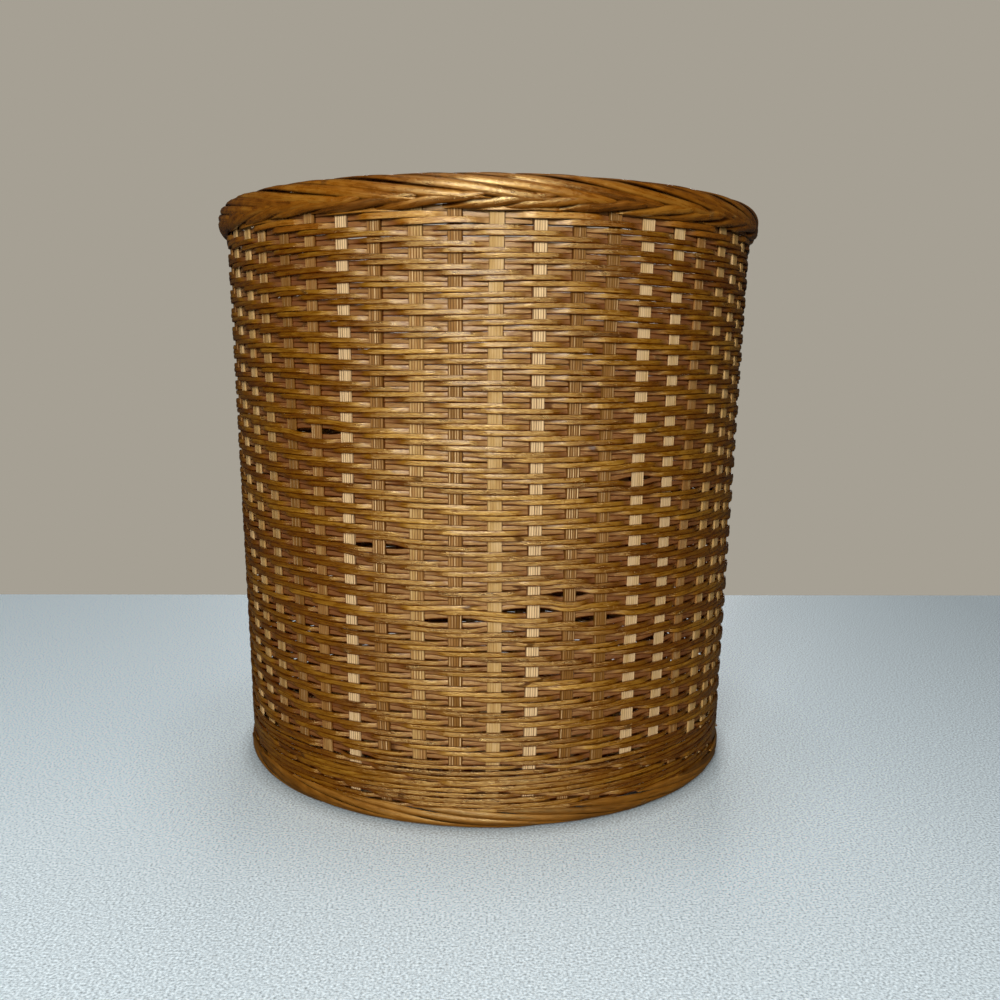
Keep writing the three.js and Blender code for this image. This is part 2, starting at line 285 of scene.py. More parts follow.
def cane_section(shoulder: float) -> Array:
    """Outline a split cane: nearly flat inside and domed outside, as shares of its size.

    Args:
        shoulder: How far out the dome is still nearly level, from 0.3 for a round strip to
            0.45 for a flat one.

    Returns:
        Places across and outwards.
    """
    edge = 2 * shoulder - 0.95
    across = [0.5, shoulder, 0.0, -shoulder, -0.5, -0.38, 0.0, 0.38]
    outwards = [edge, shoulder - 0.05, 0.5, shoulder - 0.05, edge, -0.46, -0.5, -0.46]
    return np.stack([across, outwards], axis=-1)


def ribbed_section(ribs: int, depth: float) -> Array:
    """Outline a stake's flat strip with shallow ribs along both faces.

    The face stands at half the thickness less a groove that follows the cosine of the place
    across the strip, and the strip's edges are rounded off.

    Args:
        ribs: How many ribs lie side by side.
        depth: The grooves' depth as a share of the thickness.

    Returns:
        Places across and outwards, as shares of the width and the thickness.
    """
    across = np.linspace(RIBBED_SHARE / 2, -RIBBED_SHARE / 2, 4 * ribs + 1)
    wave = depth * (0.5 - 0.5 * np.cos(TURN * ribs * (across / RIBBED_SHARE + 0.5)))
    face = np.stack([across, 0.5 - wave], axis=-1)
    back = np.stack([-across, wave - 0.5], axis=-1)
    edge = np.array([(-0.5, 0.28), (-0.5, -0.28)])
    return np.concatenate([face, edge, back, -edge])


@dataclass(frozen=True)
class WallLine:
    """The line that the middle of the stakes follows up the wall."""

    radius_at_floor: float
    flare: float

    @classmethod
    def of_stake(cls, node: str, bend_top: float) -> "WallLine":
        """Fit the line through the corners of a stake above its bend.

        Args:
            node: The stake's CAD node.
            bend_top: Height above which the stake is straight.

        Returns:
            The straight line of radius over height that fits best.
        """
        mesh = bpy.data.objects[node].data
        points = np.empty(len(mesh.vertices) * 3)
        mesh.vertices.foreach_get("co", points)
        points = points.reshape(-1, 3) / MM
        straight = points[points[:, 2] > bend_top]
        flare, radius = np.polyfit(straight[:, 2], np.hypot(straight[:, 0], straight[:, 1]), 1)
        return cls(float(radius), float(flare))

    def radius(self, height: Array) -> Array:
        """Give the middle of the stakes at a height."""
        return self.radius_at_floor + self.flare * height


@dataclass(frozen=True)
class StakeRing:
    """The ring of upright stakes: where each one really stands.

    A stake keeps off its even place by a sway of its own, which wanders a little in a wave on
    its way up, as hand-set stakes do. Both are counted in pitches. The lowest stretch, up to
    the settled height, runs in from the even places.
    """

    wall: WallLine
    count: int = 49
    width: float = 5.9
    thickness: float = 1.0
    top: float = 268.0
    sway: float = 0.07
    wander: float = 0.035
    settled: float = 60.0
    wave: float = 45.0
    seed: int = 7

    @property
    def pitch(self) -> float:
        """Give the even angle from stake to stake."""
        return TURN / self.count

    def shift(self, stake: Array, height: Array) -> Array:
        """Say how far stakes stand off their even places.

        A stake's shift is its sway plus its wander times the sine of height over the wave
        length, eased in from the floor.

        Args:
            stake: Stake numbers.
            height: Heights above the floor.

        Returns:
            Shifts in pitches, positive to the right.
        """
        rng = np.random.default_rng(self.seed)
        sways = rng.uniform(-self.sway, self.sway, self.count)
        wanders = rng.uniform(-self.wander, self.wander, self.count)
        phases = rng.uniform(0, TURN, self.count)
        stake = stake % self.count
        moved = sways[stake] + wanders[stake] * np.sin(height / self.wave + phases[stake])
        return moved * ease(height / self.settled)

    def angle(self, crossing: Array, height: Array) -> Array:
        """Turn places counted in stakes into angles, between the stakes as they stand.

        Args:
            crossing: The places.
            height: Heights above the floor.

        Returns:
            The angles.
        """
        left = np.floor(crossing).astype(int)
        share = crossing - left
        shift = self.shift(left, height) * (1 - share) + self.shift(left + 1, height) * share
        return (crossing + shift) * self.pitch


class Weave(Enum):
    """How a strand goes over and under the stakes.

    The values are how many stakes it passes over, after how many its pattern repeats, and how
    softly it crosses.
    """

    TWILL = (2, 4, 0.3)
    LONG_WALE = (5, 6, 0.1)

    def lift(self, crossing: Array) -> Array:
        """Say on which side of the stakes a strand is.

        The wave is the cosine of a turn a repeat about the middle of the float, less its
        value half a float away, held near plus and minus one.

        Args:
            crossing: Places along the strand in stakes, with a float from stake 0.

        Returns:
            Near 1 outside the stakes and near -1 inside them.
        """
        over, repeat, softness = self.value
        middle = (over - 1) / 2
        wave = np.cos(TURN / repeat * (crossing - middle)) - np.cos(TURN / 2 * over / repeat)
        return limited(wave, softness)

    def give(self, crossing: Array) -> Array:
        """Say how a strand gives way to the others on the same side of a stake.

        It goes in straight steps from -1 on the first stake of a run to 1 on the last one, and
        a run of one stake has 0.

        Args:
            crossing: Places along the strand in stakes, with a float from stake 0.

        Returns:
            From -1 for fully down to 1 for fully up.
        """
        over, repeat, _ = self.value
        behind = 1.0 if repeat - over > 1 else 0.0
        stops = [0, over - 1, over, repeat - 1, repeat]
        return np.interp(crossing % repeat, stops, [-1, 1, -behind, behind, -1])


@dataclass(frozen=True)
class Strand:
    """A split cane strand and how it lies in the weave.

    It stands off the stakes' middle by the bulge and gives way to the strands beside it by the
    nestle. A drift says over how many stakes, and how far, something comes and goes: the height
    in millimetres, the turn about the strand's own line, a share of its bulge or width, or the
    tone.
    """

    width: float = 2.42
    width_spread: float = 0.22
    width_drift: Pair = (3.1, 0.06)
    thickness: float = 1.3
    shoulder: float = 0.43
    bulge: float = 1.15
    bulge_drift: Pair = (2.3, 0.12)
    nestle: float = 0.06
    turn_drift: Pair = (1.9, 0.13)
    height_drift: Pair = (1.7, 0.18)
    tone_drift: Pair = (9.0, 0.12)
    pinch: float = 0.03
    lag: float = 0.08
    stations: int = 8

    def places(self, first: float, last: float) -> Array:
        """List a strand's stations from one crossing to another."""
        return np.linspace(first, last, round((last - first) * self.stations) + 1)

    def lengths(self, rng: np.random.Generator, crossing: Array, low: int, high: int) -> Array:
        """Number the lengths of cane that a long strand is spliced from, one value a station."""
        ends = np.cumsum(rng.integers(low, high, int(np.ptp(crossing) / low) + 2))
        return np.searchsorted(ends, crossing - crossing.min())


@dataclass(frozen=True)
class Slit:
    """A place where the rows have parted: its angle in degrees, its height and its size."""

    angle: float
    height: float
    length: float = 8.0
    gap: float = 1.1


# The parted places of the wall at the front, set near those of the photo, and all others.
FRONT_SLITS = (
    Slit(-36, 170.5, 14, 1.3), Slit(-22, 120.5, 12), Slit(-7, 89, 13), Slit(7, 94, 12),
    Slit(22, 90.5, 13, 1.3), Slit(18, 107.5), Slit(34, 81), Slit(33, 154.5), Slit(26, 48),
    Slit(-42, 50),
)
OTHER_SLITS = (
    Slit(86, 140, 9), Slit(118, 205, 7), Slit(160, 88, 10), Slit(203, 166, 8), Slit(262, 120, 9),
)


@dataclass
class WovenBand:
    """A band of strands wound round the stakes as one long helix, from its bottom to its top.

    With an odd number of stakes, the helix steps the weave one stake aside on every row. With
    a loose start, the lowest rows give way less, so that more of the stakes shows. The ripple
    sways the rows up and down in slow swings, each of so many waves a turn, which climb by a
    height, and fades out at the band's edges. At a slit, the push fades over so many rows and
    turns from down to up within one row divided by the edge.
    """

    ring: StakeRing
    names: tuple[str, ...]
    nodes: tuple[str, ...]
    slot: str
    weave: Weave
    strand: Strand
    rows: int
    bottom: float
    top: float
    phase: int = 0
    seam: int = 24
    splice: tuple[int, int] = (60, 150)
    splice_gap: float = 0.05
    slits: tuple[Slit, ...] = ()
    slit_rows: float = 3.0
    slit_edge: float = 3.0
    loose_start: float = 0.0
    loose_height: float = 8.0
    ripple: float = 0.3
    ripple_swings: tuple[Pair, ...] = ((3, 31.0), (7, -17.0))
    ripple_fade: float = 15.0
    tones: Pair = (0.0, 1.0)
    seed: int = 1

    @property
    def row(self) -> float:
        """Give the height that the strand climbs in a turn."""
        return (self.top - self.bottom) / self.rows

    def window(self, slit: Slit) -> tuple[Array, Array]:
        """Find the place nearest to a slit where two strands meet inside a stake.

        Args:
            slit: The slit.

        Returns:
            The place's angle and height.
        """
        over, repeat, _ = self.weave.value
        stake = round(np.radians(slit.angle) / self.ring.pitch)
        crossing = stake + self.ring.count * np.arange(1, self.rows)
        lower = crossing[(crossing + self.phase) % repeat == over]
        meeting = self.bottom + self.row * ((lower - self.seam) / self.ring.count + 0.5)
        height = meeting[np.abs(meeting - slit.height).argmin()]
        return self.ring.angle(np.array(stake), height), height

    def opened(self, angle: Array, height: Array) -> Array:
        """Part the rows at the slits, so that the dark inside shows.

        Each slit pushes the rows above it up and those below it down. The push fades with
        the distance along the row and with the height, both as bell curves.

        Args:
            angle: Angles of the strand's stations.
            height: Their heights.

        Returns:
            How far each station moves up.
        """
        push = np.zeros_like(height)
        for slit in self.slits:
            middle, level = self.window(slit)
            aside = (angle - middle + TURN / 2) % TURN - TURN / 2
            along = aside * self.ring.wall.radius(level) / slit.length
            above = height - level
            bell = np.exp(-(along**4) - (above / (self.slit_rows * self.row)) ** 2)
            push += slit.gap * np.tanh(self.slit_edge * above / self.row) * bell
        return push

    def ribbon(self, first: float, last: float) -> Ribbons:
        """Lay the strand from one crossing to another.

        The strand climbs one row a turn. It stands off the stakes' middle by the bulge times
        its lift, which lags behind the stakes, and it gives way by the nestle to the strands
        that lie over the same stake. Between the stakes it is narrower by the pinch times the
        squared sine of half a turn a stake.

        Args:
            first: Where it starts, in stakes.
            last: Where it ends.

        Returns:
            The strand.
        """
        rng = np.random.default_rng(self.seed + int(first))
        ring, strand = self.ring, self.strand
        crossing = strand.places(first, last)
        pattern = crossing + self.phase
        level = self.bottom + self.row * (crossing - self.seam) / ring.count
        angle = ring.angle(crossing, level)
        lift = self.weave.lift(pattern - strand.lag)
        starts = np.random.default_rng(self.seed).uniform(0, TURN, len(self.ripple_swings))
        swings = (
            np.sin(waves * angle + level / climb + start)
            for (waves, climb), start in zip(self.ripple_swings, starts)
        )
        fade = ease((level - self.bottom) / self.ripple_fade)
        fade = fade * ease((self.top - level) / self.ripple_fade)
        moved = self.ripple * sum(swings) * fade + self.opened(angle, level)
        moved += drift(rng, crossing, *strand.height_drift)
        low = ease((self.loose_height - level + self.bottom) / (self.loose_height / 2))
        nestle = strand.nestle * (1 - self.loose_start * low)
        height = level + moved + nestle * self.weave.give(pattern)
        bulge = strand.bulge * (1 + drift(rng, crossing, *strand.bulge_drift))
        radius = ring.wall.radius(height) + bulge * lift
        piece = strand.lengths(rng, crossing, *self.splice)
        widths = rng.normal(strand.width, strand.width_spread / 2, piece.max() + 1)
        tones = rng.uniform(*self.tones, piece.max() + 1)
        tone = tones[piece] + drift(rng, crossing, *strand.tone_drift)
        pinched = 1 - strand.pinch * np.sin(np.pi * crossing) ** 2
        width = widths[piece] * pinched * (1 + drift(rng, crossing, *strand.width_drift))
        return Ribbons(
            path=polar(radius, angle, height)[None],
            outward=polar(np.ones_like(angle), angle, 0)[None],
            section=cane_section(strand.shoulder),
            width=width[None],
            thickness=np.array(strand.thickness),
            tilt=drift(rng, crossing, *strand.turn_drift)[None],
            marks={"tone": tone[None], "lift": lift[None], "crossing": crossing[None]},
        )

    def build(self, finish: Material) -> None:
        """Make the band's pieces, parted where the strand is behind the stakes.

        Args:
            finish: The strand's material.
        """
        over, repeat, _ = self.weave.value
        crossings = self.rows * self.ring.count
        cuts = np.linspace(0, crossings / repeat, len(self.names) + 1).round() * repeat
        cuts += (over + repeat - 1) / 2 - self.phase
        cuts[0] = self.seam
        cuts[-1] = self.seam + crossings
        for name, node, first, last in zip(self.names, self.nodes, cuts[:-1], cuts[1:]):
            piece = make_piece(name, [self.ribbon(first, last - self.splice_gap)])
            dress(piece, finish, self.slot, node)


@dataclass
class BaseWeave(WovenBand):
    """The bottom's strand, which spirals outwards between the spokes.

    Its bottom and top are the radii where it starts and ends.
    """

    level: float = 7.0

    def ribbon(self, first: float, last: float) -> Ribbons:
        """Lay the strand flat: the radius grows by one row a turn, and over is downwards.

        Args:
            first: Where it starts, in stakes.
            last: Where it ends.

        Returns:
            The strand.
        """
        rng = np.random.default_rng(self.seed)
        crossing = self.strand.places(first, last)
        radius = self.bottom + self.row * (crossing - self.seam) / self.ring.count
        lift = self.weave.lift(crossing + self.phase)
        height = self.level - self.strand.bulge * lift
        angle = crossing * self.ring.pitch
        piece = self.strand.lengths(rng, crossing, *self.splice)
        tones = rng.uniform(*self.tones, piece.max() + 1)
        return Ribbons(
            path=polar(radius, angle, height)[None],
            outward=np.broadcast_to(DOWN, (1, len(crossing), 3)),
            section=cane_section(self.strand.shoulder),
            width=np.array(self.strand.width),
            thickness=np.array(self.strand.thickness),
            tilt=drift(rng, crossing, *self.strand.turn_drift)[None],
            marks={"tone": tones[piece][None], "lift": lift[None], "crossing": crossing[None]},
        )


class StripTone(Enum):
    """A stake's colour, from 0 for brown to 1 for pale, and how strongly its lines show."""

    BRIGHT = (1.0, 0.9)
    SOFT = (0.82, 0.35)
    PALE = (0.66, 0.2)
    TAN = (0.5, 0.8)
    ROSY = (0.36, 0.5)
    BROWN = (0.2, 1.0)
    OLIVE = (0.14, 0.5)


@dataclass
class Splints:
    """The flat strips that are stakes at both ends and cross under the base between them.

    Each group runs side by side inside the fan circle, a layer above the group before it, and
    spreads out to the level circle, past which all spokes lie at one level. The tones name the
    strips that show at the front, from left to right.
    """

    ring: StakeRing
    groups: int = 4
    level: float = 7.0
    bend: float = 5.0
    fan_radius: float = 47.0
    level_radius: float = 61.0
    layer: float = 1.3
    odd_start: float = 66.0
    base_width: float = 5.0
    full_width_from: float = 20.0
    width_spread: float = 0.05
    tone_spread: float = 0.06
    ribs: int = 5
    groove: float = 0.16
    crease: float = 40.0
    wall_steps: int = 30
    bend_steps: int = 7
    spoke_steps: int = 8
    seed: int = 5
    tones_from_left: str = (
        "PALE PALE TAN OLIVE ROSY BRIGHT BROWN TAN BROWN PALE "
        "BRIGHT BROWN OLIVE SOFT SOFT ROSY PALE PALE PALE"
    )

    def half(self, stake: int, layer: int) -> Array:
        """List one end of a splint from its top to its group's fan circle.

        Args:
            stake: The stake's number.
            layer: The group's layer on the base.

        Returns:
            Points, each with the direction in plan that the strip is walked in.
        """
        bend_top = self.level + self.bend
        height = np.linspace(self.ring.top, bend_top, self.wall_steps)
        number = np.full(len(height), stake)
        wall_angle = (number + self.ring.shift(number, height)) * self.ring.pitch
        wall = polar(self.ring.wall.radius(height), wall_angle, height)
        turn = np.linspace(0, TURN / 4, self.bend_steps)[1:]
        centre = self.ring.wall.radius(bend_top) - self.bend
        angle = stake * self.ring.pitch
        corner = polar(centre + self.bend * np.cos(turn), angle, bend_top - self.bend * np.sin(turn))
        spoke_radius = np.linspace(centre - self.bend, self.level_radius, self.spoke_steps)
        spoke = polar(spoke_radius, angle, self.level)
        fan = polar(np.array([self.fan_radius]), angle, self.level + layer * self.layer)
        points = np.concatenate([wall, corner, spoke, fan])
        inward = polar(np.full(len(points), -1.0), angle, 0)
        return np.concatenate([points, inward[:, :2]], axis=1)

    def rounded(self, line: Array) -> Array:
        """Cut a line's corners twice, each time at a quarter and three quarters of every step.

        Args:
            line: The line's points.

        Returns:
            The smoother line, with the same ends.
        """
        for _ in range(2):
            near = 0.75 * line[:-1] + 0.25 * line[1:]
            far = 0.25 * line[:-1] + 0.75 * line[1:]
            middle = np.stack([near, far], axis=1).reshape(-1, line.shape[1])
            line = np.concatenate([line[:1], middle, line[-1:]])
        return line

    def ribbon(self, line: Array, tone: StripTone, rng: np.random.Generator) -> Ribbons:
        """Carry the ribbed section along a line of points and plan directions.

        Args:
            line: Points, each with the direction in plan that the strip is walked in.
            tone: The strip's colour and lines.
            rng: The seeded source of its width, tone and number.

        Returns:
            The strip.
        """
        line = self.rounded(line)
        path = line[None, :, :3]
        walked = unit(line[:, 3:])
        across = np.stack([walked[:, 1], -walked[:, 0], np.zeros(len(line))], axis=-1)
        along = unit(np.gradient(path, axis=1))
        colour, lines = tone.value
        width = self.ring.width * (1 + rng.uniform(-self.width_spread, self.width_spread))
        on_base = ease((self.full_width_from - path[..., 2]) / (self.full_width_from / 2))
        colour += rng.uniform(-self.tone_spread, self.tone_spread)
        return Ribbons(
            path=path,
            outward=np.cross(along, across[None]),
            section=ribbed_section(self.ribs, self.groove),
            width=width * (1 - on_base) + self.base_width * on_base,
            thickness=np.array(self.ring.thickness),
            marks={
                "tone": np.full(path.shape[:2], colour),
                "lines": np.full(path.shape[:2], lines),
            },
            first_number=int(rng.integers(100)),
        )

    def tone_of(self, stakes: tuple[int, ...], rng: np.random.Generator) -> StripTone:
        """Take the tone of the stake that shows at the front, or a random one.

        Args:
            stakes: The stakes that one strip forms.
            rng: The seeded source of the random one, which is drawn in both cases.

        Returns:
            The strip's tone.
        """
        drawn = list(StripTone)[rng.integers(len(StripTone))]
        names = self.tones_from_left.split()
        for stake in stakes:
            place = (stake + len(names) // 2) % self.ring.count
            if place < len(names):
                return StripTone[names[place]]
        return drawn

    def build(self, finish: Material) -> None:
        """Make each splint, and the odd stake that ends in the base weave.

        Args:
            finish: The strips' material.
        """
        rng = np.random.default_rng(self.seed)
        splints = (self.ring.count - 1) // 2
        in_group = splints // self.groups
        for first in range(splints):
            layer, place = divmod(first, in_group)
            second = splints + (layer + 1) * in_group - 1 - place
            near, far = self.half(first, layer), self.half(second, layer)
            chord = unit(far[-1, :2] - near[-1, :2])
            near[-1, 3:] = unit(near[-1, 3:] + chord)
            far[-1, 3:] = unit(far[-1, 3:] - chord)
            far[:, 3:] *= -1
            middle = (near[-1:] + far[-1:]) / 2
            middle[0, 3:] = chord
            spread = np.array([[0.7], [0.35]])  # of the way from the middle to the fan circle
            run_in = middle + (near[-1:] - middle) * spread
            run_out = middle + (far[-1:] - middle) * spread[::-1]
            run_in[:, 3:] = chord
            run_out[:, 3:] = chord
            line = np.concatenate([near, run_in, middle, run_out, far[::-1]])
            tone = self.tone_of((first, second), rng)
            ribbon = self.ribbon(line, tone, rng)
            piece = make_piece(f"stake_strip_{first + 1:02d}", [ribbon], self.crease)
            dress(piece, finish, "stake", f"splint_{first + 1:02d}")
        odd = self.ring.count - 1
        line = self.half(odd, 0)
        line = line[np.hypot(line[:, 0], line[:, 1]) > self.odd_start]
        tone = self.tone_of((odd,), rng)
        piece = make_piece("stake_strip_odd", [self.ribbon(line, tone, rng)], self.crease)
        dress(piece, finish, "stake", "odd_stake")


@dataclass(frozen=True)
class Profile:
    """A line of radius and height that strips are wound over, walked by its own length.

    The outside lies to the right of the walk when radius runs right and height runs up.
    """

    points: Array

    def lengths(self) -> Array:
        """Give each point's distance along the line."""
        steps = np.linalg.norm(np.diff(self.points, axis=0), axis=-1)
        return np.concatenate([[0], np.cumsum(steps)])

    def at(self, length: Array, angle: Array) -> tuple[Array, Array]:
        """Find places on the ring that the profile sweeps.

        Args:
            length: Distances along the profile.
            angle: Angles round the basket.

        Returns:
            The points, and the outward direction at each.
        """
        walked = self.lengths()
        slope = unit(np.gradient(self.points, axis=0))
        radius, height = (np.interp(length, walked, self.points[:, k]) for k in (0, 1))
        run, rise = (np.interp(length, walked, slope[:, k]) for k in (0, 1))
        return polar(radius, angle, height), unit(polar(rise, angle, -run))


@dataclass(frozen=True)
class WoundStrips:
    """Strips side by side that are wound aslant over a ring's profile.

    Each strip goes from the profile's start to its end, or back where it isn't rising. For each
    spacing that it goes along the profile, it moves round the basket by one strip's place, to
    the right for a way of 1 and to the left for -1. It starts flatter where the bend is over 1.
    About the calm angle the strips travel farther by the calm. Near its ends, over the tuck's
    share of its length, a strip narrows and sinks under its neighbours. It lies off its even
    place by up to the loose share of a place, and high or low by as many millimetres. Two slow
    swings move it along the profile, each given by its size in millimetres and its radians from
    end to end, and change its width by the breath and its tilt by the roll.
    """

    count: int
    spacing: float
    width: float
    thickness: float
    tilt: float
    stations: int
    way: int = -1
    rising: bool = True
    bend: float = 1.0
    calm: float = 0.0
    calm_angle: float = np.radians(-72)
    narrow: float = 0.2
    sink: float = 0.6
    tuck: float = 0.07
    shoulder: float = 0.36
    loose: float = 0.12
    swings: tuple[Pair, Pair] = ((0.22, 7.0), (0.12, 17.0))
    width_spread: float = 0.1
    breath: float = 0.08
    roll: Pair = (0.05, 11.0)
    tones: Pair = (0.35, 0.8)
    seed: int = 3

    def ribbons(self, profile: Profile) -> Ribbons:
        """Wind the strips.

        Args:
            profile: The line that the middle of the strips lies on.

        Returns:
            One ribbon for each strip, with its own tone.
        """
        rng = np.random.default_rng(self.seed)
        share = np.linspace(0, 1, self.stations)[None]
        strip = np.arange(self.count)[:, None]
        start = (strip + rng.uniform(-self.loose, self.loose, strip.shape)) * TURN / self.count
        aside = (start - self.calm_angle + TURN / 2) % TURN - TURN / 2
        whole = profile.lengths()[-1]
        travel = self.way * whole / self.spacing * TURN / self.count
        travel = travel * (1 + self.calm * np.exp(-(aside**2)))
        angle = start + travel * share
        phases = rng.uniform(0, TURN, (self.count, 2))
        first, second = phases[:, :1], phases[:, 1:]
        (wide, slow), (narrow, quick) = self.swings
        wave = wide * np.sin(slow * share + first) + narrow * np.sin(quick * share + second)
        begin, end = (0, whole) if self.rising else (whole, 0)
        length = begin + (end - begin) * share**self.bend + wave
        path, outward = profile.at(length, angle)
        inside = 1 - ease(np.minimum(share, 1 - share) / self.tuck)
        high = rng.uniform(-self.loose, self.loose, strip.shape)
        path = path + outward * (high - self.sink * inside)[..., None]
        spread = rng.uniform(-self.width_spread, self.width_spread, strip.shape)
        width = self.width * (1 + spread)
        tone = rng.uniform(*self.tones, strip.shape)
        roll, turns = self.roll
        return Ribbons(
            path=path,
            outward=outward,
            section=cane_section(self.shoulder),
            width=width * (1 - (1 - self.narrow) * inside) + self.breath * self.width * wave,
            thickness=np.array(self.thickness),
            tilt=self.tilt + roll * np.sin(turns * share + second),
            marks={
                "tone": np.broadcast_to(tone, angle.shape),
                "lift": np.ones_like(angle),
                "crossing": np.zeros_like(angle),
            },
        )


@dataclass
class Rim:
    """The rim's roll: a herringbone of glossy strips wound over two hoops.

    The upper strips go over the roll and the lower ones under it, each family over its arc,
    from direction to direction in degrees round the roll's section, with 0 outwards and 90 up.
    """

    ring: StakeRing
    squareness: float = 0.84
    depth: float = 0.8
    steps: int = 90
    upper_arc: Pair = (-29.0, 212.0)
    upper: WoundStrips = WoundStrips(
        count=31, spacing=4.2, width=4.6, thickness=1.75, tilt=0.12, stations=110,
        bend=1.15, tuck=0.09, shoulder=0.32, seed=11,
    )
    lower_arc: Pair = (-82.0, -7.0)
    lower: WoundStrips = WoundStrips(
        count=35, spacing=3.8, width=4.6, thickness=1.75, tilt=0.12, stations=48,
        rising=False, bend=1.3, calm=0.9, tuck=0.22, shoulder=0.32, seed=12,
    )

    def section(self, arc: Pair) -> Profile:
        """Give the roll's outline between two directions, as a squarish ellipse.

        Radius and height are the half sizes of the CAD rim, less the depth, times the cosine
        and sine of the direction raised to the squareness, about the middle of the rim.

        Args:
            arc: The first and the last direction in degrees.

        Returns:
            The profile that the middle of the strips follows.
        """
        low, high = corners("rim_binding")
        level = (low[2] + high[2]) / 2
        middle = self.ring.wall.radius(level)
        half_width = high[0] - middle - self.depth
        half_height = (high[2] - low[2]) / 2 - self.depth
        direction = np.radians(np.linspace(*arc, self.steps))
        cos, sin = np.cos(direction), np.sin(direction)
        radius = middle + half_width * np.sign(cos) * np.abs(cos) ** self.squareness
        height = level + half_height * np.sign(sin) * np.abs(sin) ** self.squareness
        return Profile(np.stack([radius, height], axis=-1))

    def build(self, finish: Material, hoop_finish: Material) -> None:
        """Make the strips of both families, and finish the hoops that show between them.

        Args:
            finish: The strips' material.
            hoop_finish: The hoops' material.
        """
        over, under = self.section(self.upper_arc), self.section(self.lower_arc)
        families = [self.upper.ribbons(over), self.lower.ribbons(under)]
        dress(make_piece("rim_braid", families), finish, "peel", "rim_binding")
        for node in ("rim_outer_hoop", "rim_inner_hoop"):
            materials = bpy.data.objects[node].data.materials
            materials.clear()
            materials.append(hoop_finish)
            LOG.info("%s: stays the CAD's", node)


@dataclass
class Foot:
    """The foot border: long strips that sweep down from the wall and round under the edge."""

    depth: float = 0.7
    rest: float = 1.3
    rounding: float = 3.2
    lap: float = 9.0
    top: float = 9.6
    steps: int = 12
    lap_steps: int = 8
    strips: WoundStrips = WoundStrips(
        count=23, spacing=3.0, width=3.4, thickness=1.25, tilt=0.1, stations=100,
        way=1, sink=0.5, tuck=0.1, seed=21,
    )

    def section(self) -> Profile:
        """Give the outline down the outside of the CAD foot ring and over its flat underside.

        Returns:
            The profile that the middle of the strips follows.
        """
        low, high = corners("foot_border")
        outer = high[0] - self.depth
        floor = low[2] + self.rest
        turn = np.linspace(0, TURN / 4, self.steps)
        corner_radius = outer - self.rounding * (1 - np.cos(turn))
        corner_height = floor + self.rounding * (1 - np.sin(turn))
        down = np.linspace(self.top, floor + self.rounding, self.steps)[:-1]
        inward = np.linspace(outer - self.rounding, outer - self.lap, self.lap_steps)[1:]
        radius = np.concatenate([np.full(len(down), outer), corner_radius, inward])
        height = np.concatenate([down, corner_height, np.full(len(inward), floor)])
        return Profile(np.stack([radius, height], axis=-1))

    def build(self, finish: Material) -> None:
        """Wind the strips down over the foot ring.

        The walk leads down, so that the outside lies on its other side: the strips are turned
        over, and their ends rise instead of sinking.

        Args:
            finish: The strips' material.
        """
        ribbons = self.strips.ribbons(self.section())
        ribbons.outward = -ribbons.outward
        dress(make_piece("foot_strips", [ribbons]), finish, "peel", "foot_border")


